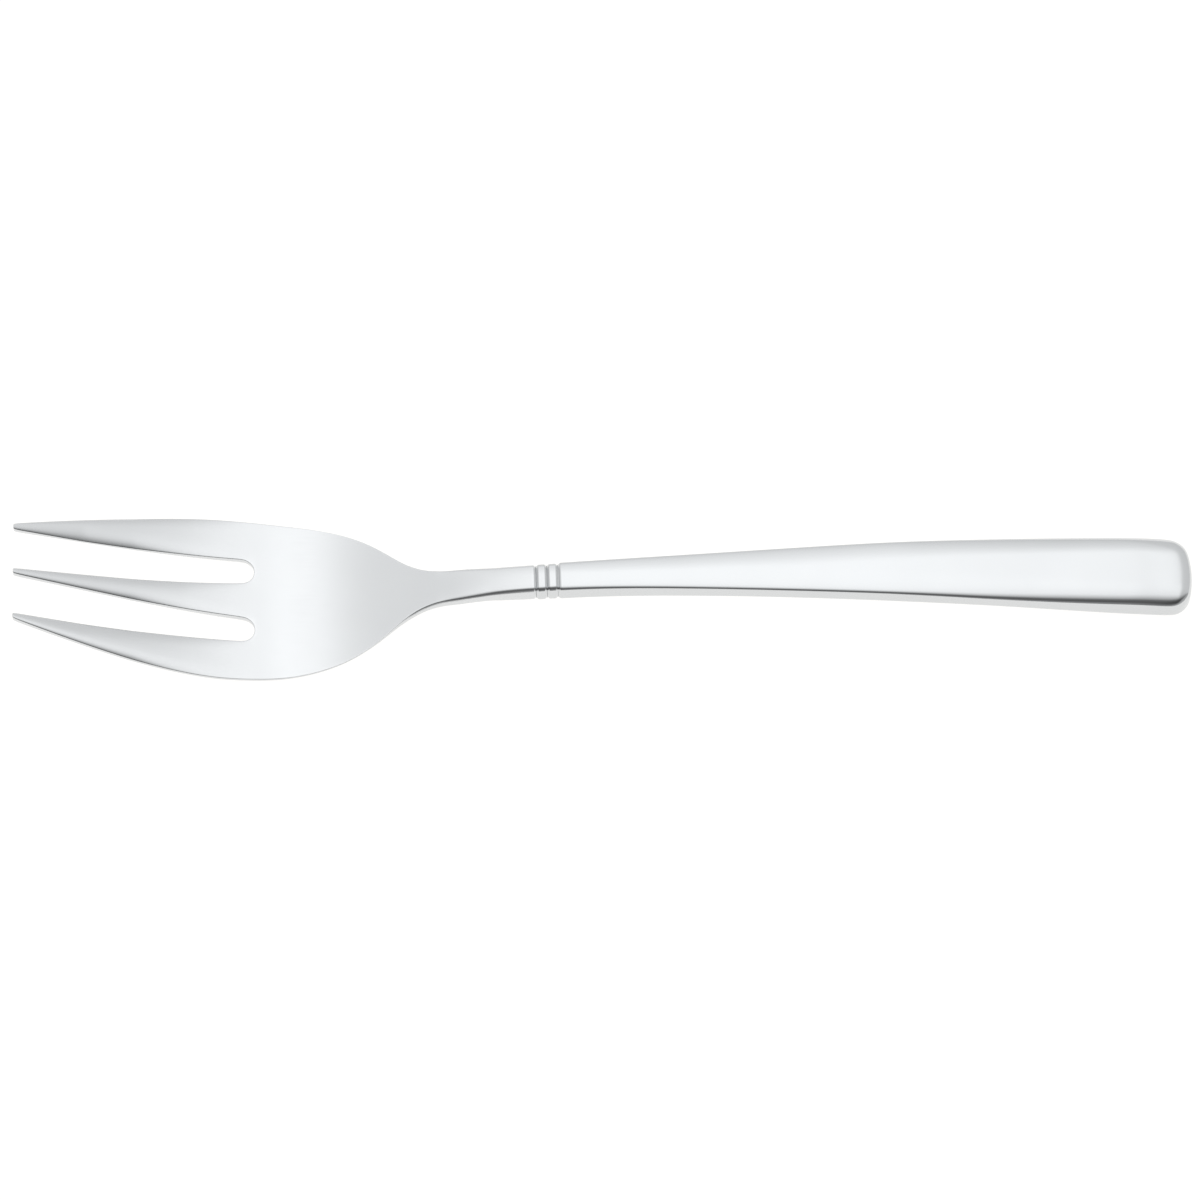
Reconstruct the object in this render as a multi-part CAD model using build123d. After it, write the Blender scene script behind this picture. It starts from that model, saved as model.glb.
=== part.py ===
"""Three-tined pastry fork of stainless steel with a hollow handle.

The fork lies face up on a table: tines towards -X, handle towards +X, table at Z = 0. The stamped head
carries a tang. Two collars sit on the tang between the shoulder and the handle, and the handle is two thin
shells closed over a filler that grips the tang. All sizes are in millimetres.
"""
from build123d import *
import os
from math import asin, cos, degrees, radians, sqrt, tan

# The whole fork. Distances "from the tips" run along the table from the tine tips.
overall_length = 150.0

# Head and neck, seen from above
head_width = 23.3
widest_from_tips = 26.5
tine_length = 30.2
tip_pitch = 6.65
tip_width = 1.0
tip_corner_radius = 0.4
flank_angle = 14.7
slot_width = 3.5
slot_pitch = 8.5
neck_from_tips = 55.5
neck_width = 4.3

# Side view: height of the upper face, thickness, and slope in degrees at each station
tip_height = 11.9
tip_thickness = 1.25
tine_angle = 18.0
bowl_from_tips = 38.0
bowl_thickness = 1.75
neck_height = 5.0
neck_thickness = 2.0
neck_angle = 14.5
arch_from_tips = 84.0
arch_height = 7.1
arch_thickness = 2.75
grip_from_end = 30.0
grip_height = 6.15
grip_thickness = 2.75
grip_angle = 4.2
end_height = 3.65
end_thickness = 4.0
end_angle = 5.5
head_edge = 0.3

# Collars and the groove lines between the pieces of the neck
shoulder_from_tips = 66.2
ring_length = 1.4
groove_width = 0.6
groove_depth = 0.22

# Handle
handle_end_width = 9.7
end_bulge = 0.95
end_corner_radius = 2.6
crown_radius = 30.0
crease_radius = 0.55
handle_bottom_edge = 0.6

# Inside the handle
shell_wall = 0.5
seam_share = 0.5
tang_length = 26.0
tang_width = 2.4
tang_thickness = 0.9
tang_corner_radius = 1.0
tang_clearance = 0.1
core_clearance = 0.05

# Fullness of each curve: the share of its length over which it keeps the direction of either end
flank_fullness = (0.34, 0.28)
shoulder_fullness = (0.79, 0.34)
handle_fullness = (0.25, 0.4)
tine_fullness = (0.37, 0.26)
heel_fullness = (0.49, 0.29)
neck_fullness = (0.16, 0.56)
arch_fullness = (0.33, 0.33)
grip_fullness = (0.33, 0.33)

tips = -overall_length / 2
handle_end = overall_length / 2
widest = tips + widest_from_tips
slot_root = tips + tine_length
neck = tips + neck_from_tips
shoulder = tips + shoulder_from_tips
ring_split = shoulder + ring_length
handle_front = ring_split + ring_length

# How far cutting shapes reach past the fork, and how near an edge lies to count as being at a place
run_out = 3.0
near = 0.01


def curve(start, start_slope, fullness, end, end_slope):
    """A smooth curve between two points with a given slope and fullness at each end."""
    (x0, y0), (x1, y1) = start, end
    lead, tail = ((x1 - x0) * share for share in fullness)
    return Bezier(
        (x0, y0),
        (x0 + lead, y0 + lead * start_slope),
        (x1 - tail, y1 - tail * end_slope),
        (x1, y1),
    )


def tine_gap(side):
    """The edges round one gap between two tines, from the middle tine out; side is +1 or -1."""
    radius = slot_width / 2
    centre = Vector(slot_root - radius, side * slot_pitch / 2)
    middle_tip = Vector(tips, side * tip_width / 2)
    outer_tip = Vector(tips, side * (tip_pitch - tip_width / 2))

    def touch(tip, turn):
        """Where the straight edge of a tine, drawn from its tip, runs into the round root of the gap."""
        reach = (centre - tip).length
        edge = (centre - tip).rotate(Axis.Z, turn * degrees(asin(radius / reach))).normalized()
        return tip + edge * sqrt(reach**2 - radius**2)

    middle_root, outer_root = touch(middle_tip, -side), touch(outer_tip, side)
    return [
        Line(middle_tip, middle_root),
        ThreePointArc(middle_root, (slot_root, centre.Y), outer_root),
        Line(outer_root, outer_tip),
        Line(outer_tip, (tips, side * (tip_pitch + tip_width / 2))),
    ]


def head_side(side):
    """The outer edge of the head from an outer tine tip to the shoulder; side is +1 or -1."""
    tip = (tips, tip_pitch + tip_width / 2)
    fullest = (widest, head_width / 2)
    throat = (neck, neck_width / 2)
    edges = [
        curve(tip, tan(radians(flank_angle)), flank_fullness, fullest, 0),
        curve(fullest, 0, shoulder_fullness, throat, 0),
        Line(throat, (shoulder, neck_width / 2)),
    ]
    return edges if side > 0 else [mirror(edge, Plane.XZ) for edge in edges]


def head_plan():
    """The head, tines and neck seen from above."""
    outline = [
        Line((tips, -tip_width / 2), (tips, tip_width / 2)),
        Line((shoulder, -neck_width / 2), (shoulder, neck_width / 2)),
    ]
    for side in (1, -1):
        outline += tine_gap(side) + head_side(side)
    face = make_face(outline)
    corners = face.vertices().filter_by_position(Axis.X, tips - near, tips + near)
    return fillet(corners, tip_corner_radius)


def run_past(point, slope, way):
    """A straight line from a point at the end of the fork on past it, so that cuts reach beyond the end."""
    x, z = point
    beyond = (x + way * run_out, z + run_out * slope)
    return Line((x, z), beyond) if way > 0 else Line(beyond, (x, z))


def side_curves(share):
    """The fork in side view at a share of its thickness: 0 is the underside, 1 the upper face."""
    stations = [
        (tips, tip_height, tip_thickness, -tine_angle),
        (tips + bowl_from_tips, bowl_thickness, bowl_thickness, 0),
        (neck, neck_height, neck_thickness, neck_angle),
        (tips + arch_from_tips, arch_height, arch_thickness, 0),
        (handle_end - grip_from_end, grip_height, grip_thickness, -grip_angle),
        (handle_end, end_height, end_thickness, -end_angle),
    ]
    fullness = [tine_fullness, heel_fullness, neck_fullness, arch_fullness, grip_fullness]
    points = [(x, top - (1 - share) * thickness) for x, top, thickness, angle in stations]
    slopes = [tan(radians(angle)) for x, top, thickness, angle in stations]
    curves = [
        curve(points[i], slopes[i], fullness[i], points[i + 1], slopes[i + 1])
        for i in range(len(fullness))
    ]
    return [run_past(points[0], -slopes[0], -1)] + curves + [run_past(points[-1], slopes[-1], 1)]


def above(share, lift=0):
    """Everything above a side-view line of the fork, raised by lift."""
    curves = side_curves(share)
    first, last = curves[0] @ 0, curves[-1] @ 1
    top, half_width = tip_height + run_out, head_width / 2 + run_out
    closing = Polyline((first.X, first.Y), (first.X, top), (last.X, top), (last.X, last.Y))
    view = Plane.XZ.offset(-half_width) * make_face(curves + [closing])
    return Pos(0, 0, lift) * extrude(view, 2 * half_width)


def upright(plan):
    """A plan view carried down and up past the whole fork."""
    return extrude(Pos(0, 0, -run_out) * plan, tip_height + 3 * run_out)


def below_crown(drop):
    """Everything below the crowned upper face of the handle, lowered by drop."""
    half = handle_end_width / 2 + run_out
    edge_fall = crown_radius - sqrt(crown_radius**2 - half**2)
    depth = arch_height + run_out
    path = Plane.XZ * Wire(side_curves(1)[3:])
    section_plane = Plane(path @ 0, x_dir=(0, 1, 0), z_dir=path % 0)
    crown = ThreePointArc((-half, -edge_fall), (0, 0), (half, -edge_fall))
    sides = Polyline((half, -edge_fall), (half, -depth), (-half, -depth), (-half, -edge_fall))
    section = section_plane * make_face([crown, sides])
    return Pos(0, 0, -drop) * sweep(section, path)


def handle_plan(inset):
    """The neck and the handle seen from above, drawn in by inset."""
    half_neck = neck_width / 2 - inset
    half_end = handle_end_width / 2 - inset
    corner = handle_end - end_bulge - inset
    side = curve((handle_front, half_neck), 0, handle_fullness, (corner, half_end), 0)
    face = make_face(
        [
            Line((neck, -half_neck), (neck, half_neck)),
            Line((neck, half_neck), (handle_front, half_neck)),
            side,
            ThreePointArc((corner, half_end), (handle_end - inset, 0), (corner, -half_end)),
            mirror(side, Plane.XZ),
            Line((handle_front, -half_neck), (neck, -half_neck)),
        ]
    )
    corners = face.vertices().filter_by_position(Axis.X, corner - near, corner + near)
    return fillet(corners, end_corner_radius - inset)


def handle_form(inset):
    """The neck and the handle as one closed form, drawn in by inset all round."""
    return upright(handle_plan(inset)) & below_crown(inset) & above(0, inset)


def slab(start, end, floor=-run_out):
    """A block as wide and high as the fork that fills a stretch of its length, from a floor up."""
    block = Box(end - start, head_width, tip_height + run_out, align=(Align.MIN, Align.CENTER, Align.MIN))
    return Pos(start, 0, floor) * block


def on_table(solid, lift=0):
    """A solid cut flat where it reaches below the table, or below a plane at lift."""
    return solid & slab(tips, handle_end + run_out, lift)


def rim(solid, upward):
    """The edges round a solid's upper or lower face, without the ones where the neck is cut across."""
    level = cos(radians(45))
    faces = solid.faces().filter_by(lambda face: face.normal_at().Z * upward > level)
    edges = [edge for edge in faces.edges() if abs(edge.center().X - shoulder) > near]
    return [edge for edge in edges if sum(edge in face.edges() for face in faces) == 1]


def between(solid, start, end):
    """The stretch of a solid between two places along the fork."""
    return solid & slab(start, end)


def groove(place):
    """What a groove line round the neck takes away, half of it from the piece on either side."""
    return slab(place - groove_width / 2, place + groove_width / 2) - handle_form(groove_depth)


def tang(grow=0):
    """The flat tail of the head, or the same shape grown all round for the openings it sits in."""
    start, end = shoulder - run_out, shoulder + tang_length + grow
    plan = Pos((start + end) / 2, 0) * Rectangle(end - start, tang_width + 2 * grow)
    tail = plan.vertices().filter_by_position(Axis.X, end - near, end + near)
    half = tang_thickness / 2 + grow
    return upright(fillet(tail, tang_corner_radius)) & above(0.5, -half) - above(0.5, half)


def fork_head():
    """Tines, bowl and neck cut from one plate, with the tang behind the shoulder."""
    plate = upright(head_plan()) & above(0) - above(1)
    plate = chamfer(rim(plate, 1), head_edge)
    plate = chamfer(rim(plate, -1), head_edge)
    return plate - groove(shoulder) + tang()


def handle_outside():
    """The collars and the handle with a rounded crease above, bevelled edges below and a flat foot."""
    form = between(handle_form(0), shoulder, handle_end + run_out)
    form = fillet(rim(form, 1), crease_radius)
    form = chamfer(rim(form, -1), handle_bottom_edge)
    return on_table(form) - groove(shoulder) - groove(ring_split) - groove(handle_front)


def collar(outside, start, end):
    """A spacer ring cut from the outer form of the neck, with an opening for the tang."""
    return between(outside, start, end) - tang(tang_clearance)


def handle_shells(outside):
    """The upper and the lower shell of the hollow handle, which meet at the seam."""
    closed = between(outside, handle_front, handle_end + run_out)
    hollow = closed - on_table(handle_form(shell_wall), shell_wall)
    over_seam = above(seam_share)
    return hollow & over_seam, hollow - over_seam


def handle_core():
    """The filler of the handle, with a pocket for the tang."""
    inset = shell_wall + core_clearance
    filling = on_table(handle_form(inset), inset)
    return between(filling, handle_front + core_clearance, handle_end) - tang(core_clearance)


outside = handle_outside()
top_shell, bottom_shell = handle_shells(outside)
pieces = {
    "fork_head": fork_head(),
    "front_spacer_ring": collar(outside, shoulder, ring_split),
    "rear_spacer_ring": collar(outside, ring_split, handle_front),
    "handle_top_shell": top_shell,
    "handle_bottom_shell": bottom_shell,
    "handle_core": handle_core(),
}

os.makedirs("parts", exist_ok=True)
for name, piece in pieces.items():
    solid = piece.solid()
    solid.label = name
    export_step(solid, f"parts/{name}.step")
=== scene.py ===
from math import asin, atan2, cos, pi, radians, sin, sqrt, tan

import bmesh
import bpy
import numpy as np
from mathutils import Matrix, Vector
from mathutils.geometry import interpolate_bezier


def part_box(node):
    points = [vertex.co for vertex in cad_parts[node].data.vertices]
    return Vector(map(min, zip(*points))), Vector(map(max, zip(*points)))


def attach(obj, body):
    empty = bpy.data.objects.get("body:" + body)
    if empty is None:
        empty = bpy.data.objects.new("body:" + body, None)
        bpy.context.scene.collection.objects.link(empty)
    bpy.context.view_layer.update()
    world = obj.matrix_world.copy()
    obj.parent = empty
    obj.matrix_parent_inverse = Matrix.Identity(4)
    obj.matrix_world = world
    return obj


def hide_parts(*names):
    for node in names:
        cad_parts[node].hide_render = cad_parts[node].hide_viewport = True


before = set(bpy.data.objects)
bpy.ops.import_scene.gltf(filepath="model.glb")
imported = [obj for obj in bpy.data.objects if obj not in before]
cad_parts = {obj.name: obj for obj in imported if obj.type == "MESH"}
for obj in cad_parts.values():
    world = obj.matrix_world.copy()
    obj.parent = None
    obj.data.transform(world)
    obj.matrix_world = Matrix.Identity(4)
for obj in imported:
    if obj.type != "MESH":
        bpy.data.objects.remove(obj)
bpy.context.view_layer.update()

# Fork head: three tines, bowl and neck in one piece of stainless steel.
# It is stamped flat from strip, its edges are rounded over, and it is then pressed to its curved side view.
# A tang behind the shoulder runs through the two collars into the hollow handle.
mm = 0.001
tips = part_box("fork_head")[0].x
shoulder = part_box("front_spacer_ring")[0].x
ring_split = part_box("rear_spacer_ring")[0].x
handle_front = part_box("rear_spacer_ring")[1].x
half_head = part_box("fork_head")[1].y
widest = tips + 26.5 * mm
slot_root = tips + 30.2 * mm
bowl_low = tips + 35.5 * mm
neck = tips + 55.5 * mm
half_neck = 2.15 * mm
tip_pitch = 6.5 * mm
half_tip = 0.44 * mm
tip_corner = 0.3 * mm
root_radius = 1.75 * mm
slot_middle = 4.25 * mm
flank_slope = tan(radians(14.7))
flank_fullness = (0.34, 0.28)
shoulder_fullness = (0.79, 0.34)
blank_thickness = 1.75 * mm
tang_length = 26 * mm
tang_half_width = 1.2 * mm
tang_half_thickness = 0.45 * mm
tang_steps = 6
tine_steps = 14
bowl_steps = 24
neck_steps = 6
root_cells = 3

# The end of the handle is drawn a little long, because rounding its edges shortens it
end_extra = 0.25 * mm
handle_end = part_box("handle_top_shell")[1].x + end_extra
handle_rear = handle_end - 30 * mm

# Side view of the whole fork: place, height of the upper face and its slope at each station.
# The bowl lies on the table at its lowest place, where its upper face is as high as the steel is thick.
side_stations = [
    (tips, 11.75 * mm, -19.6),
    (bowl_low, blank_thickness, 0.0),
    (neck, 5.0 * mm, 13.2),
    (tips + 84 * mm, 7.1 * mm, 0.0),
    (handle_rear, 6.15 * mm, -4.2),
    (handle_end, 3.9 * mm, -5.2),
]
side_fullness = [(0.42, 0.21), (0.33, 0.45), (0.16, 0.56), (0.33, 0.33), (0.33, 0.33)]
thickness_stations = [
    (tips, 1.0 * mm),
    (bowl_low, blank_thickness),
    (neck, 2.05 * mm),
    (shoulder, 2.85 * mm),
    (tips + 95 * mm, 2.6 * mm),
    (handle_rear, 2.75 * mm),
    (handle_end, 4.0 * mm),
]
thickness_fullness = (0.4, 0.4)
side_steps = 200

# Radius of the upper and of the lower edges at places along the head
under_edge = 0.6 * mm
edge_places = [tips, slot_root, neck - 8 * mm, neck - 2 * mm, neck + 2 * mm, neck + 6 * mm, shoulder]
edge_radii = [0.14 * mm, 0.15 * mm, 0.05 * mm, 0.05 * mm, 0.22 * mm, 1.0 * mm, 0.45 * mm]
lower_edge_places = [tips, tips + 8 * mm, slot_root, neck - 4 * mm, neck + 4 * mm]
lower_edge_radii = [0.2 * mm, 0.45 * mm, 1.1 * mm, 1.1 * mm, under_edge]

# How far the underside rises to the rim at places along the head, so that the bowl has a thin edge
rise_places = [tips + 14 * mm, tips + 22 * mm, tips + 30 * mm, tips + 47 * mm, neck - 2 * mm, neck + 6 * mm]
rim_rises = [0, 0.35 * mm, 0.7 * mm, 1.0 * mm, 0.72 * mm, 0]

# How far the wall of the heel leans outwards from the upper face to the underside
lean_places = [neck - 11 * mm, neck - 5 * mm, neck + 1 * mm, neck + 5 * mm]
wall_leans = [0, 0.78 * mm, 0.6 * mm, 0]

# The upper face rolls off towards its edges: on the tines, and from the neck to the end of the handle.
# The ridge of an outer tine lies at a share of its width from the gap.
roll_width = 2.1 * mm
roll_angle = 16
roll_slope = tan(radians(roll_angle))
roll_start = neck - 2 * mm
roll_full = neck + 5 * mm
tine_roll_width = 2.0 * mm
ridge_share = 0.65
tine_slope_places = [tips + 15 * mm, slot_root]
tine_slopes = [tan(radians(31)), 0]

# Soft groove lines run round the fork where neck, collars and handle meet
joints = (shoulder, ring_split, handle_front)
groove_half_width = 0.34 * mm
groove_depth = 0.18 * mm
lip_steps = 3
joint_edge = 0.05 * mm

# Points this close become one, and edges sharper than this are rounded, by the largest radius at most.
# The tang and the openings of the collars begin at faces that look straight along the fork.
same_point = 0.01 * mm
sharp = radians(50)
largest_radius = 1.4 * mm
straight_on = 0.99


def curve(start, start_slope, fullness, end, end_slope, steps):
    """Points along a smooth line between two places with a given slope and fullness at each end."""
    lead, tail = ((end[0] - start[0]) * share for share in fullness)
    first_handle = (start[0] + lead, start[1] + lead * start_slope)
    last_handle = (end[0] - tail, end[1] - tail * end_slope)
    return interpolate_bezier(start, first_handle, last_handle, end, steps + 1)


def straight(start, end, steps):
    """Points along a straight line between two places."""
    start, end = Vector(start), Vector(end)
    return [start.lerp(end, i / steps) for i in range(steps + 1)]


upper_line, thickness_line = [], []
for i, fullness in enumerate(side_fullness):
    (start_x, start_z, start_angle), (end_x, end_z, end_angle) = side_stations[i : i + 2]
    slopes = tan(radians(start_angle)), tan(radians(end_angle))
    upper_line += curve((start_x, start_z), slopes[0], fullness, (end_x, end_z), slopes[1], side_steps)
for start, end in zip(thickness_stations, thickness_stations[1:]):
    thickness_line += curve(start, 0, thickness_fullness, end, 0, side_steps)


def along(x, line):
    """The height, thickness or half width that a drawn line has at places along the fork."""
    return np.interp(x, *np.array(line).T)


def upper(x):
    """Height of the middle of the upper face."""
    return along(x, upper_line)


def lower(x):
    """Height of the middle of the underside."""
    return along(x, upper_line) - along(x, thickness_line)


def choose(*pieces):
    """Select these pieces and nothing else, with the first one active."""
    bpy.ops.object.select_all(action="DESELECT")
    for piece in pieces:
        piece.select_set(True)
    bpy.context.view_layer.objects.active = pieces[0]


def edit(piece):
    """Open one piece for modelling."""
    choose(piece)
    bpy.ops.object.mode_set(mode="EDIT")


def close():
    """Go back from modelling to the finished piece."""
    bpy.ops.object.mode_set(mode="OBJECT")


def drawn(name, points, edges):
    """A new piece that holds only drawn lines."""
    mesh = bpy.data.meshes.new(name)
    mesh.from_pydata(points, edges, [])
    piece = bpy.data.objects.new(name, mesh)
    bpy.context.collection.objects.link(piece)
    return piece


def strip(rail, other_rail, cells):
    """A flat strip of faces between two drawn lines that have as many points each."""
    count = len(rail)
    edges = [(i, i + 1) for i in range(2 * count - 1) if i != count - 1]
    piece = drawn("strip", [(p.x, p.y, 0) for p in [*rail, *other_rail]], edges)
    edit(piece)
    bpy.ops.mesh.select_all(action="SELECT")
    bpy.ops.mesh.bridge_edge_loops(number_cuts=cells - 1, interpolation="LINEAR")
    close()
    return piece


def modify(piece, kind, **settings):
    """Add one modifier with its settings and apply it."""
    choose(piece)
    modifier = piece.modifiers.new(kind.lower(), kind)
    for name, value in settings.items():
        setattr(modifier, name, value)
    bpy.ops.object.modifier_apply(modifier=modifier.name)


def blank(name, strips):
    """Join strips that cover the far half of a plan into one flat sheet, and mirror it to the near half."""
    choose(*strips)
    bpy.ops.object.join()
    piece = bpy.context.object
    piece.name = piece.data.name = name
    modify(piece, "MIRROR", use_axis=(False, True, False), merge_threshold=same_point)
    edit(piece)
    bpy.ops.mesh.select_all(action="SELECT")
    bpy.ops.mesh.remove_doubles(threshold=same_point)
    close()
    return piece


def thicken(piece, thickness):
    """Raise a flat sheet to a plate."""
    edit(piece)
    bpy.ops.mesh.select_all(action="SELECT")
    bpy.ops.mesh.extrude_region_move(TRANSFORM_OT_translate={"value": (0, 0, thickness)})
    bpy.ops.mesh.select_all(action="SELECT")
    bpy.ops.mesh.normals_make_consistent(inside=False)
    close()


def round_over(piece, radius_at):
    """Round the sharp edges of a plate, each by the radius for the place of its middle, and smooth it."""
    mesh = bmesh.new()
    mesh.from_mesh(piece.data)
    weight = mesh.edges.layers.float.new("bevel_weight_edge")
    for edge in mesh.edges:
        if edge.calc_face_angle(0) > sharp:
            start, end = (vert.co for vert in edge.verts)
            edge[weight] = radius_at((start + end) / 2) / largest_radius
    mesh.to_mesh(piece.data)
    mesh.free()
    modify(
        piece, "BEVEL", limit_method="WEIGHT", width=largest_radius, segments=2, use_clamp_overlap=False
    )
    modify(piece, "SUBSURF", levels=2, render_levels=2, boundary_smooth="PRESERVE_CORNERS")


def places_of(piece):
    """The places of all points of a piece, one row each."""
    places = np.empty((len(piece.data.vertices), 3), np.float32)
    piece.data.vertices.foreach_get("co", places.ravel())
    return places


def set_places(piece, places):
    """Move all points of a piece."""
    piece.data.vertices.foreach_set("co", places.ravel())
    piece.data.update()


def groove_at(x):
    """How deep the groove lines are at places along the fork."""
    depth = np.zeros_like(x)
    for joint in joints:
        off = np.clip((x - joint) / groove_half_width, -1, 1)
        depth += groove_depth * (1 + np.cos(pi * off)) / 2
    return depth


def press(piece, thickness, under_at, over_at):
    """Press a flat plate to the heights of its underside and its upper face, with the groove lines."""
    places = places_of(piece)
    x, y, z = places.T.copy()
    depth = groove_at(x)
    under = under_at(x, y) + depth
    over = over_at(x, y) - depth
    places[:, 1] = y * (1 - depth / half_neck)
    places[:, 2] = under + z / thickness * (over - under)
    set_places(piece, places)
    choose(piece)
    bpy.ops.object.shade_smooth()


def roll_off(inside, slope, width):
    """How far a face that rolls off over some width to a slope at its edge has dropped inside that edge."""
    return slope * width / 2 * np.clip(1 - inside / width, 0, None) ** 2


# Edges of the far half of the head, seen from above
root_centre = Vector((slot_root - root_radius, slot_middle))


def touch(tip, way):
    """Direction from the middle of a round root to the point where a tine's straight edge meets it."""
    to_root = root_centre - tip
    return atan2(to_root.y, to_root.x) + way * (pi / 2 - asin(root_radius / to_root.length))


def on_root(angle):
    """A point on the round root of the far gap."""
    return root_centre + root_radius * Vector((cos(angle), sin(angle)))


def tip_round(edge, way):
    """The rounded corner of a tine tip from its end face to its edge; the edge lies on the side of way."""
    diagonal = tip_corner * (1 - sqrt(0.5))
    return [
        Vector((tips, edge - way * tip_corner)),
        Vector((tips + diagonal, edge - way * diagonal)),
    ]


middle_edge, inner_edge, outer_edge = half_tip, tip_pitch - half_tip, tip_pitch + half_tip
past_corner = tips + tip_corner
middle_angle = touch(Vector((past_corner, middle_edge)), -1)
outer_angle = touch(Vector((past_corner, inner_edge)), 1)
middle_side = tip_round(middle_edge, 1)
middle_side += straight((past_corner, middle_edge), on_root(middle_angle), tine_steps)
inner_side = tip_round(inner_edge, -1)
inner_side += straight((past_corner, inner_edge), on_root(outer_angle), tine_steps)
flank_start = (past_corner, outer_edge + tip_corner * flank_slope)
flank = tip_round(outer_edge, 1)
flank += curve(flank_start, flank_slope, flank_fullness, (widest, half_head), 0, tine_steps)
bowl_side = curve((widest, half_head), 0, shoulder_fullness, (neck, half_neck), 0, bowl_steps)
lip = (shoulder - groove_half_width, half_neck)
neck_side = straight((neck, half_neck), lip, neck_steps)
neck_side += straight(lip, (shoulder, half_neck), lip_steps)[1:]
head_line = [*flank, *bowl_side, *neck_side]


def below(line):
    """The middle line of the fork at the same places along it as another line."""
    return [Vector((p.x, 0)) for p in line]


# Behind a gap the sheet lies between the round root and three lines: the middle, one across, the side
arc_cells = 3 * root_cells
arc_step = (outer_angle - middle_angle) / arc_cells
root_arc = [on_root(middle_angle + i * arc_step) for i in range(arc_cells + 1)]
behind_root = bowl_side[root_cells]
round_root = straight((middle_side[-1].x, 0), (behind_root.x, 0), root_cells)
round_root += straight((behind_root.x, 0), behind_root, root_cells)[1:]
round_root += bowl_side[root_cells - 1 :: -1]
back_side = bowl_side[root_cells:] + neck_side[1:]

fork_head = blank(
    "fork_head_steel",
    [
        strip(below(middle_side), middle_side, 1),
        strip(inner_side, flank, 1),
        strip(root_arc, round_root, 1),
        strip(below(back_side), back_side, root_cells),
    ],
)
thicken(fork_head, blank_thickness)


def head_edge_radius(middle):
    """Fine edges on tines and bowl, a soft one along the neck, and a tight joint at the shoulder."""
    if middle.x > shoulder - joint_edge:
        return joint_edge
    if middle.z < blank_thickness / 2:
        return np.interp(middle.x, lower_edge_places, lower_edge_radii)
    return np.interp(middle.x, edge_places, edge_radii)


def lean_wall(piece):
    """Lean the wall of the heel outwards, from nothing at the upper face to its most at the underside."""
    places = places_of(piece)
    x, y, z = places.T.copy()
    lean = np.interp(x, lean_places, wall_leans) * (1 - z / blank_thickness)
    places[:, 1] = y * (1 + lean / along(x, head_line))
    set_places(piece, places)


round_over(fork_head, head_edge_radius)
lean_wall(fork_head)


def faces_where(piece, wanted):
    """Open a piece for modelling with only the faces selected whose middle and normal fit."""
    edit(piece)
    bpy.ops.mesh.select_mode(type="FACE")
    bpy.ops.mesh.select_all(action="DESELECT")
    mesh = bmesh.from_edit_mesh(piece.data)
    for face in mesh.faces:
        face.select_set(wanted(face.calc_center_median(), face.normal))
    bmesh.update_edit_mesh(piece.data)


def facing_tang(middle, normal):
    """The part of the neck's end that the tang grows out of."""
    off_middle = abs(middle.z - blank_thickness / 2)
    return normal.x > straight_on and abs(middle.y) < tang_half_width and off_middle < tang_half_thickness


def head_under(x, y):
    """Underside of the head, which rises towards the rim of the bowl."""
    across = np.minimum(np.abs(y) / along(x, head_line), 1)
    return lower(x) + np.interp(x, rise_places, rim_rises) * across**4


def head_over(x, y):
    """Upper face of the head, flat across the bowl and rolled off along the tines and the neck."""
    middle, inner, outer = (along(x, edge) for edge in (middle_side, inner_side, flank))
    outer_tine = np.abs(y) > (middle + inner) / 2
    from_gap = np.where(outer_tine, np.abs(y) - inner, middle - np.abs(y))
    ridge = np.where(outer_tine, ridge_share * (outer - inner), middle)
    tine_slope = np.interp(x, tine_slope_places, tine_slopes)
    gap_drop = roll_off(from_gap, tine_slope, np.minimum(ridge, tine_roll_width))
    flank_width = np.minimum((1 - ridge_share) * (outer - inner), tine_roll_width)
    flank_drop = np.where(outer_tine, roll_off(outer - np.abs(y), tine_slope, flank_width), 0)
    in_neck = along(x, head_line) - np.abs(y)
    neck_slope = np.interp(x, [roll_start, roll_full], [0, roll_slope])
    return upper(x) - gap_drop - flank_drop - roll_off(in_neck, neck_slope, roll_width)


faces_where(fork_head, facing_tang)
for _ in range(tang_steps):
    bpy.ops.mesh.extrude_region_move(TRANSFORM_OT_translate={"value": (tang_length / tang_steps, 0, 0)})
close()
press(fork_head, blank_thickness, head_under, head_over)


def finish_nodes(name):
    """A new finish: its material, shader and links, and a function that adds a node with its inputs."""
    material = bpy.data.materials.new(name)
    material.use_nodes = True
    tree = material.node_tree

    def node(kind, **inputs):
        made = tree.nodes.new("ShaderNode" + kind)
        for key, value in inputs.items():
            socket = made.inputs[key.replace("_", " ")]
            if isinstance(value, bpy.types.NodeSocket):
                tree.links.new(value, socket)
            else:
                socket.default_value = value
        return made

    return material, tree.nodes["Principled BSDF"], tree.links, node


polish_depth = 0.0002 * mm


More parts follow.
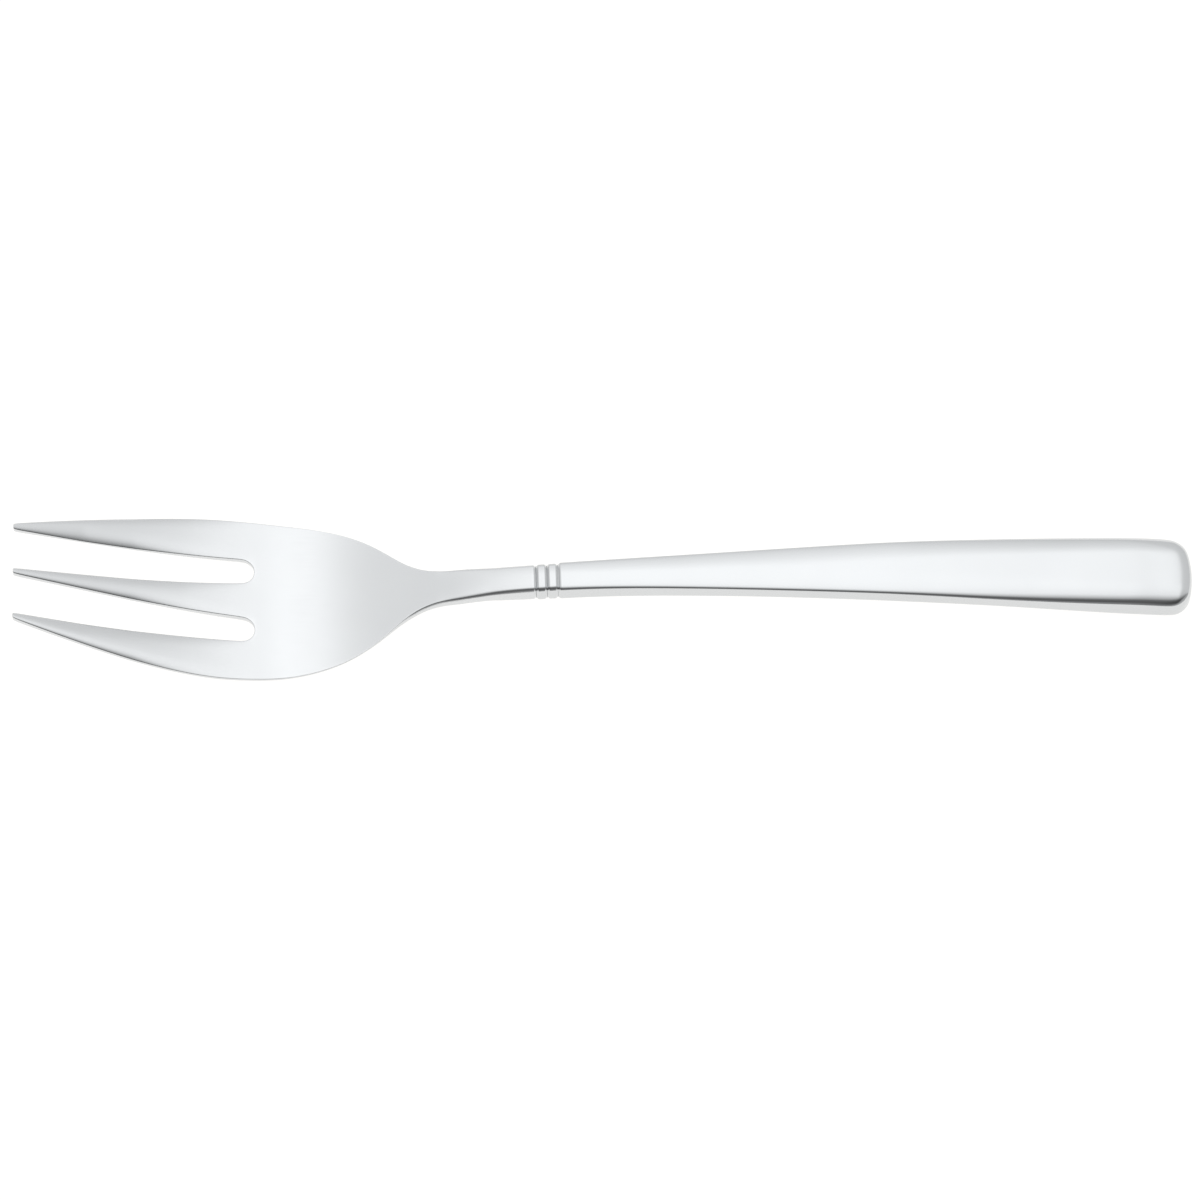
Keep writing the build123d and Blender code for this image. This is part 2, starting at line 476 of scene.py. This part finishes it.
def steel(name, colour, grain_scale, smoothest, roughest):
    """Stainless steel with fine polishing lines; grain_scale gives the lines per metre along each axis."""
    material, shader, links, node = finish_nodes(name)
    place = node("TexCoord").outputs["Object"]
    grain_place = node("Mapping", Vector=place, Scale=grain_scale).outputs["Vector"]
    grain = node("TexNoise", Vector=grain_place, Scale=1.0, Detail=1.0, Roughness=0.5).outputs["Fac"]
    cloud = node("TexNoise", Vector=place, Scale=140.0, Detail=2.0).outputs["Fac"]
    noise_range = {"From_Min": 0.3, "From_Max": 0.7}
    gloss = node("MapRange", Value=grain, **noise_range, To_Min=smoothest, To_Max=roughest)
    tint = node("MapRange", Value=cloud, **noise_range, To_Min=0.98, To_Max=1.0)
    shade = node("VectorMath", Vector=colour)
    shade.operation = "SCALE"
    links.new(tint.outputs["Result"], shade.inputs["Scale"])
    bump = node("Bump", Strength=1.0, Distance=polish_depth, Height=grain)
    links.new(shade.outputs["Vector"], shader.inputs["Base Color"])
    links.new(gloss.outputs["Result"], shader.inputs["Roughness"])
    links.new(bump.outputs["Normal"], shader.inputs["Normal"])
    shader.inputs["Metallic"].default_value = 1.0
    return material


satin_steel = steel(
    "satin_steel",
    colour=(0.695, 0.71, 0.722),
    grain_scale=(300, 6000, 6000),
    smoothest=0.2,
    roughest=0.24,
)
fork_head.data.materials.append(satin_steel)
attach(fork_head, "root")
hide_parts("fork_head")

# Two spacer rings: narrow collars of polished steel that are slid on the tang between neck and handle.
# Their lands are rounded over towards both ends, so that a soft groove line is left at each joint.
ring_height = 2.4 * mm
ring_crease = 0.55 * mm
tang_clearance = 0.1 * mm
ring_steps = 6


def ring_edge_radius(middle):
    """Soft upper and lower edges, and tight joints at the two ends."""
    if min(abs(middle.x - joint) for joint in joints) < joint_edge:
        return joint_edge
    return ring_crease if middle.z > ring_height / 2 else under_edge


def ring_under(x, y):
    """Underside of the collars, in line with neck and handle."""
    return lower(x)


def ring_over(x, y):
    """Upper face of the collars, rolled off as the neck is."""
    return upper(x) - roll_off(half_neck - np.abs(y), roll_slope, roll_width)


def facing_ring(middle, normal):
    """The part of a ring's two ends that the tang passes through."""
    off_middle = abs(middle.z - ring_height / 2)
    in_width = abs(middle.y) < tang_half_width + tang_clearance
    in_height = off_middle < tang_half_thickness + tang_clearance
    return abs(normal.x) > straight_on and in_width and in_height


buffed_steel = steel(
    "buffed_steel",
    colour=(0.664, 0.68, 0.692),
    grain_scale=(150, 5000, 5000),
    smoothest=0.1,
    roughest=0.14,
)
for node_name, start, end in (
    ("front_spacer_ring", shoulder, ring_split),
    ("rear_spacer_ring", ring_split, handle_front),
):
    side = straight((start, half_neck), (end, half_neck), ring_steps)
    ring = blank(node_name + "_steel", [strip(below(side), side, root_cells)])
    thicken(ring, ring_height)
    round_over(ring, ring_edge_radius)
    faces_where(ring, facing_ring)
    bpy.ops.mesh.bridge_edge_loops()
    close()
    press(ring, ring_height, ring_under, ring_over)
    ring.data.materials.append(buffed_steel)
    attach(ring, "root")
    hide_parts(node_name)

# Hollow handle: an upper and a lower shell pressed from sheet steel, soldered at the seam and buffed.
# The upper face rolls off to a crease that softens towards the end, and the walls widen to a rounded end.
# The lower shell is ground flat under the end, where the fork rests.
half_end = 5.22 * mm
end_bulge = 1.15 * mm
end_corner = 3.0 * mm
handle_fullness = (0.25, 0.31)
handle_height = 3.2 * mm
seam = handle_height / 2
handle_middle = handle_front + 42 * mm
crease_places = [handle_front, handle_front + 2.5 * mm, handle_middle, handle_end]
crease_radii = [0.6 * mm, 0.3 * mm, 0.42 * mm, 0.75 * mm]
lower_places = [handle_middle, handle_end]
lower_radii = [under_edge, 0.9 * mm]
roll_places = [handle_middle, handle_end - 16 * mm, handle_end]
roll_angles = [roll_angle, 27, 31]
width_places = [handle_front, handle_front + 30 * mm]
roll_widths = [roll_width, 3.2 * mm]
end_roll_width = 7 * mm
end_slope = tan(radians(8))
shell_wall = 0.3 * mm
crisp = radians(40)
handle_steps = 36
corner_steps = 4

end_radius = (half_end**2 + end_bulge**2) / (2 * end_bulge)
end_centre = Vector((handle_end - end_radius, 0))
corner_y = half_end - end_corner
corner_angle = asin(corner_y / (end_radius - end_corner))
corner_centre = end_centre + (end_radius - end_corner) * Vector((cos(corner_angle), sin(corner_angle)))
end_side = (handle_end - end_bulge, half_end)
handle_line = curve((handle_front, half_neck), 0, handle_fullness, end_side, 0, side_steps)
lip_end = handle_front + groove_half_width
side_x = np.linspace(handle_front, lip_end, lip_steps, endpoint=False)
side_x = np.append(side_x, np.linspace(lip_end, corner_centre.x, handle_steps + 1))
far_side = [Vector((x, along(x, handle_line))) for x in side_x]
for i in range(1, corner_steps + 1):
    angle = pi / 2 + (corner_angle - pi / 2) * i / corner_steps
    far_side.append(corner_centre + end_corner * Vector((cos(angle), sin(angle))))
straight_part, end_part = far_side[:-root_cells], far_side[-root_cells:]
before_end = straight((straight_part[-1].x, 0), straight_part[-1], root_cells)
round_end = [Vector((handle_end, 0)), *reversed(end_part)]


def handle_sheet(name, level):
    """A flat sheet inside the outline of the handle, at a level of the plate."""
    piece = blank(
        name,
        [strip(below(straight_part), straight_part, root_cells), strip(before_end, round_end, 1)],
    )
    edit(piece)
    bpy.ops.mesh.select_all(action="SELECT")
    bpy.ops.transform.translate(value=(0, 0, level))
    close()
    return piece


def open_side(middle, normal):
    """The faces where a shell is open: along the seam and at the collar."""
    return abs(middle.z - seam) < joint_edge or middle.x < handle_front + joint_edge


def handle_edge_radius(middle):
    """The crease round the upper face and the lower edge both soften towards the end."""
    if middle.z < seam:
        return np.interp(middle.x, lower_places, lower_radii)
    return np.interp(middle.x, crease_places, crease_radii)


def handle_under(x, y):
    """Underside of the handle, flat where it rests on the table."""
    return np.maximum(lower(x), 0)


def handle_over(x, y):
    """Upper face of the handle, rolled off ever more along the sides and only a little towards the end."""
    side_slope = np.tan(np.radians(np.interp(x, roll_places, roll_angles)))
    in_side = along(x, handle_line) - np.abs(y)
    side_drop = roll_off(in_side, side_slope, np.interp(x, width_places, roll_widths))
    in_end = end_radius - np.hypot(np.maximum(x - end_centre.x, 0), y)
    end_drop = roll_off(in_end, end_slope, end_roll_width)
    return upper(x) - side_drop - end_drop


def line_with_sheet(shell):
    """Give a shell the thickness of its sheet: a second skin inside it, joined at the open edges."""
    edit(shell)
    bpy.ops.mesh.select_all(action="SELECT")
    bpy.ops.mesh.duplicate()
    bpy.ops.mesh.flip_normals()
    close()
    places = places_of(shell)
    inner = places[len(places) // 2 :]
    x, y, z = inner.T.copy()
    under, over = handle_under(x, y), handle_over(x, y)
    middle = (under + over) / 2
    inner[:, 0] = handle_front + (x - handle_front) * (1 - shell_wall / (handle_end - handle_front))
    inner[:, 1] = y * (1 - shell_wall / along(x, handle_line))
    inner[:, 2] = middle + (z - middle) * (1 - 2 * shell_wall / (over - under))
    set_places(shell, places)
    edit(shell)
    bpy.ops.mesh.select_mode(type="EDGE")
    bpy.ops.mesh.select_all(action="DESELECT")
    bpy.ops.mesh.select_non_manifold()
    bpy.ops.mesh.bridge_edge_loops()
    close()
    bpy.ops.object.shade_smooth_by_angle(angle=crisp)


for node_name, level in (("handle_top_shell", seam), ("handle_bottom_shell", 0)):
    shell = handle_sheet(node_name + "_steel", level)
    thicken(shell, seam)
    faces_where(shell, open_side)
    bpy.ops.mesh.delete(type="FACE")
    close()
    round_over(shell, handle_edge_radius)
    press(shell, handle_height, handle_under, handle_over)
    line_with_sheet(shell)
    shell.data.materials.append(buffed_steel)
    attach(shell, "root")
    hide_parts(node_name)

# Handle core: the hardened filler that is poured into the closed shells and grips the tang.
# It is a dull grey-brown mass with a sandy grain, and no part of it shows on the finished fork.
handle_filler, shader, links, node = finish_nodes("handle_filler")
place = node("TexCoord").outputs["Object"]
sand = node("TexNoise", Vector=place, Scale=2500.0, Detail=3.0).outputs["Fac"]
shade = node("MixRGB", Fac=sand, Color1=(0.52, 0.5, 0.45, 1), Color2=(0.72, 0.7, 0.65, 1))
links.new(shade.outputs["Color"], shader.inputs["Base Color"])
rough = node("Bump", Strength=0.5, Distance=0.05 * mm, Height=sand)
links.new(rough.outputs["Normal"], shader.inputs["Normal"])
shader.inputs["Roughness"].default_value = 0.85
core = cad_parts["handle_core"]
core.data.materials.clear()
core.data.materials.append(handle_filler)

# Table: a plain white sheet on which the fork lies, matt and much larger than the view.
# It is lit from below as well, so that shadows on it stay faint.
table_size = 4
bpy.ops.mesh.primitive_plane_add(size=table_size)
table = bpy.context.object
table.name = "table"
table_white, shader = finish_nodes("table_white")[:2]
shader.inputs["Base Color"].default_value = (0.17, 0.165, 0.16, 1)
shader.inputs["Roughness"].default_value = 0.9
shader.inputs["Specular IOR Level"].default_value = 0
shader.inputs["Emission Color"].default_value = (1, 0.99, 0.975, 1)
shader.inputs["Emission Strength"].default_value = 0.96
table.data.materials.append(table_white)

# Light: a soft white tent, brightest overhead, greyer to the left, the right and the far side,
# and dark on the near side, where it is open for the camera. A pale wing stands low on the right.
tent_strength = 1.41
world = bpy.data.worlds.new("studio")
bpy.context.scene.world = world
world.use_nodes = True
tree = world.node_tree
direction = tree.nodes.new("ShaderNodeTexCoord").outputs["Generated"]
axes = tree.nodes.new("ShaderNodeSeparateXYZ")
tree.links.new(direction, axes.inputs[0])


def ramp(axis, stops):
    """Brightness at angles from overhead towards one axis, from stops of degrees and brightness."""
    lean = tree.nodes.new("ShaderNodeMath")
    lean.operation = "ARCTAN2"
    tree.links.new(axes.outputs[axis], lean.inputs[0])
    tree.links.new(axes.outputs["Z"], lean.inputs[1])
    place = tree.nodes.new("ShaderNodeMapRange")
    place.inputs["From Min"].default_value = -pi / 2
    place.inputs["From Max"].default_value = pi / 2
    tree.links.new(lean.outputs["Value"], place.inputs["Value"])
    made = tree.nodes.new("ShaderNodeValToRGB")
    made.color_ramp.interpolation = "CARDINAL"
    elements = made.color_ramp.elements
    while len(elements) < len(stops):
        elements.new(0.5)
    for element, (at, level) in zip(elements, stops):
        element.position = at / 180 + 0.5
        element.color = (level, level, level, 1)
    tree.links.new(place.outputs["Result"], made.inputs["Fac"])
    return made.outputs["Color"]


def combined(operation, first, second):
    """Two brightnesses of the tent combined into one."""
    joined = tree.nodes.new("ShaderNodeVectorMath")
    joined.operation = operation
    tree.links.new(first, joined.inputs[0])
    tree.links.new(second, joined.inputs[1])
    return joined.outputs["Vector"]


left_to_right = [
    (-90, 0.42), (-32, 0.65), (-20, 0.72), (-10.5, 0.9), (-4, 1), (9, 1), (14, 0.95), (16.5, 0.91),
    (22, 0.93), (26, 0.92), (29, 0.85), (31, 0.76), (33, 0.65), (36, 0.6), (42, 0.58), (90, 0.56),
]
far_wall = [(30, 1), (36, 0.95), (42, 0.87), (49, 0.79), (57, 0.71), (67, 0.65), (90, 0.57)]
near_opening = [(-90, 0.45), (-62, 0.14), (-40, 0.13), (-32, 0.26), (-12, 0.8), (0, 0.94), (15, 1)]
right_wing = [(50, 0.05), (72, 0.33)]
brightness = combined("MINIMUM", ramp("X", left_to_right), ramp("Y", far_wall))
brightness = combined("MULTIPLY", brightness, ramp("Y", near_opening))
brightness = combined("MAXIMUM", brightness, ramp("X", right_wing))
tent = tree.nodes["Background"]
tree.links.new(brightness, tent.inputs["Color"])
tent.inputs["Strength"].default_value = tent_strength
plain = tree.nodes.new("ShaderNodeBackground")
plain.inputs["Color"].default_value = (1, 1, 1, 1)
seen = tree.nodes.new("ShaderNodeMixShader")
tree.links.new(tree.nodes.new("ShaderNodeLightPath").outputs["Is Camera Ray"], seen.inputs["Fac"])
tree.links.new(tent.outputs["Background"], seen.inputs[1])
tree.links.new(plain.outputs["Background"], seen.inputs[2])
tree.links.new(seen.outputs["Shader"], tree.nodes["World Output"].inputs["Surface"])
bpy.context.scene.view_settings.view_transform = "Standard"

# Camera: from the near side, well above the table, as the photograph was taken.
# Its long lens stands far off, so that the fork keeps nearly the same scale from tips to end.
camera_distance = 0.9
camera_height = radians(60)
camera_turn = radians(1.85)
aim = Vector((-0.7, -1.75, 3.0)) * mm
level_part = cos(camera_height)
away = Vector((-sin(camera_turn) * level_part, -cos(camera_turn) * level_part, sin(camera_height)))
facing = away.to_track_quat("Z", "Y").to_euler()
bpy.ops.object.camera_add(location=aim + away * camera_distance, rotation=facing)
camera = bpy.context.object
camera.data.lens = 211.6
camera.data.sensor_width = 36
bpy.context.scene.camera = camera
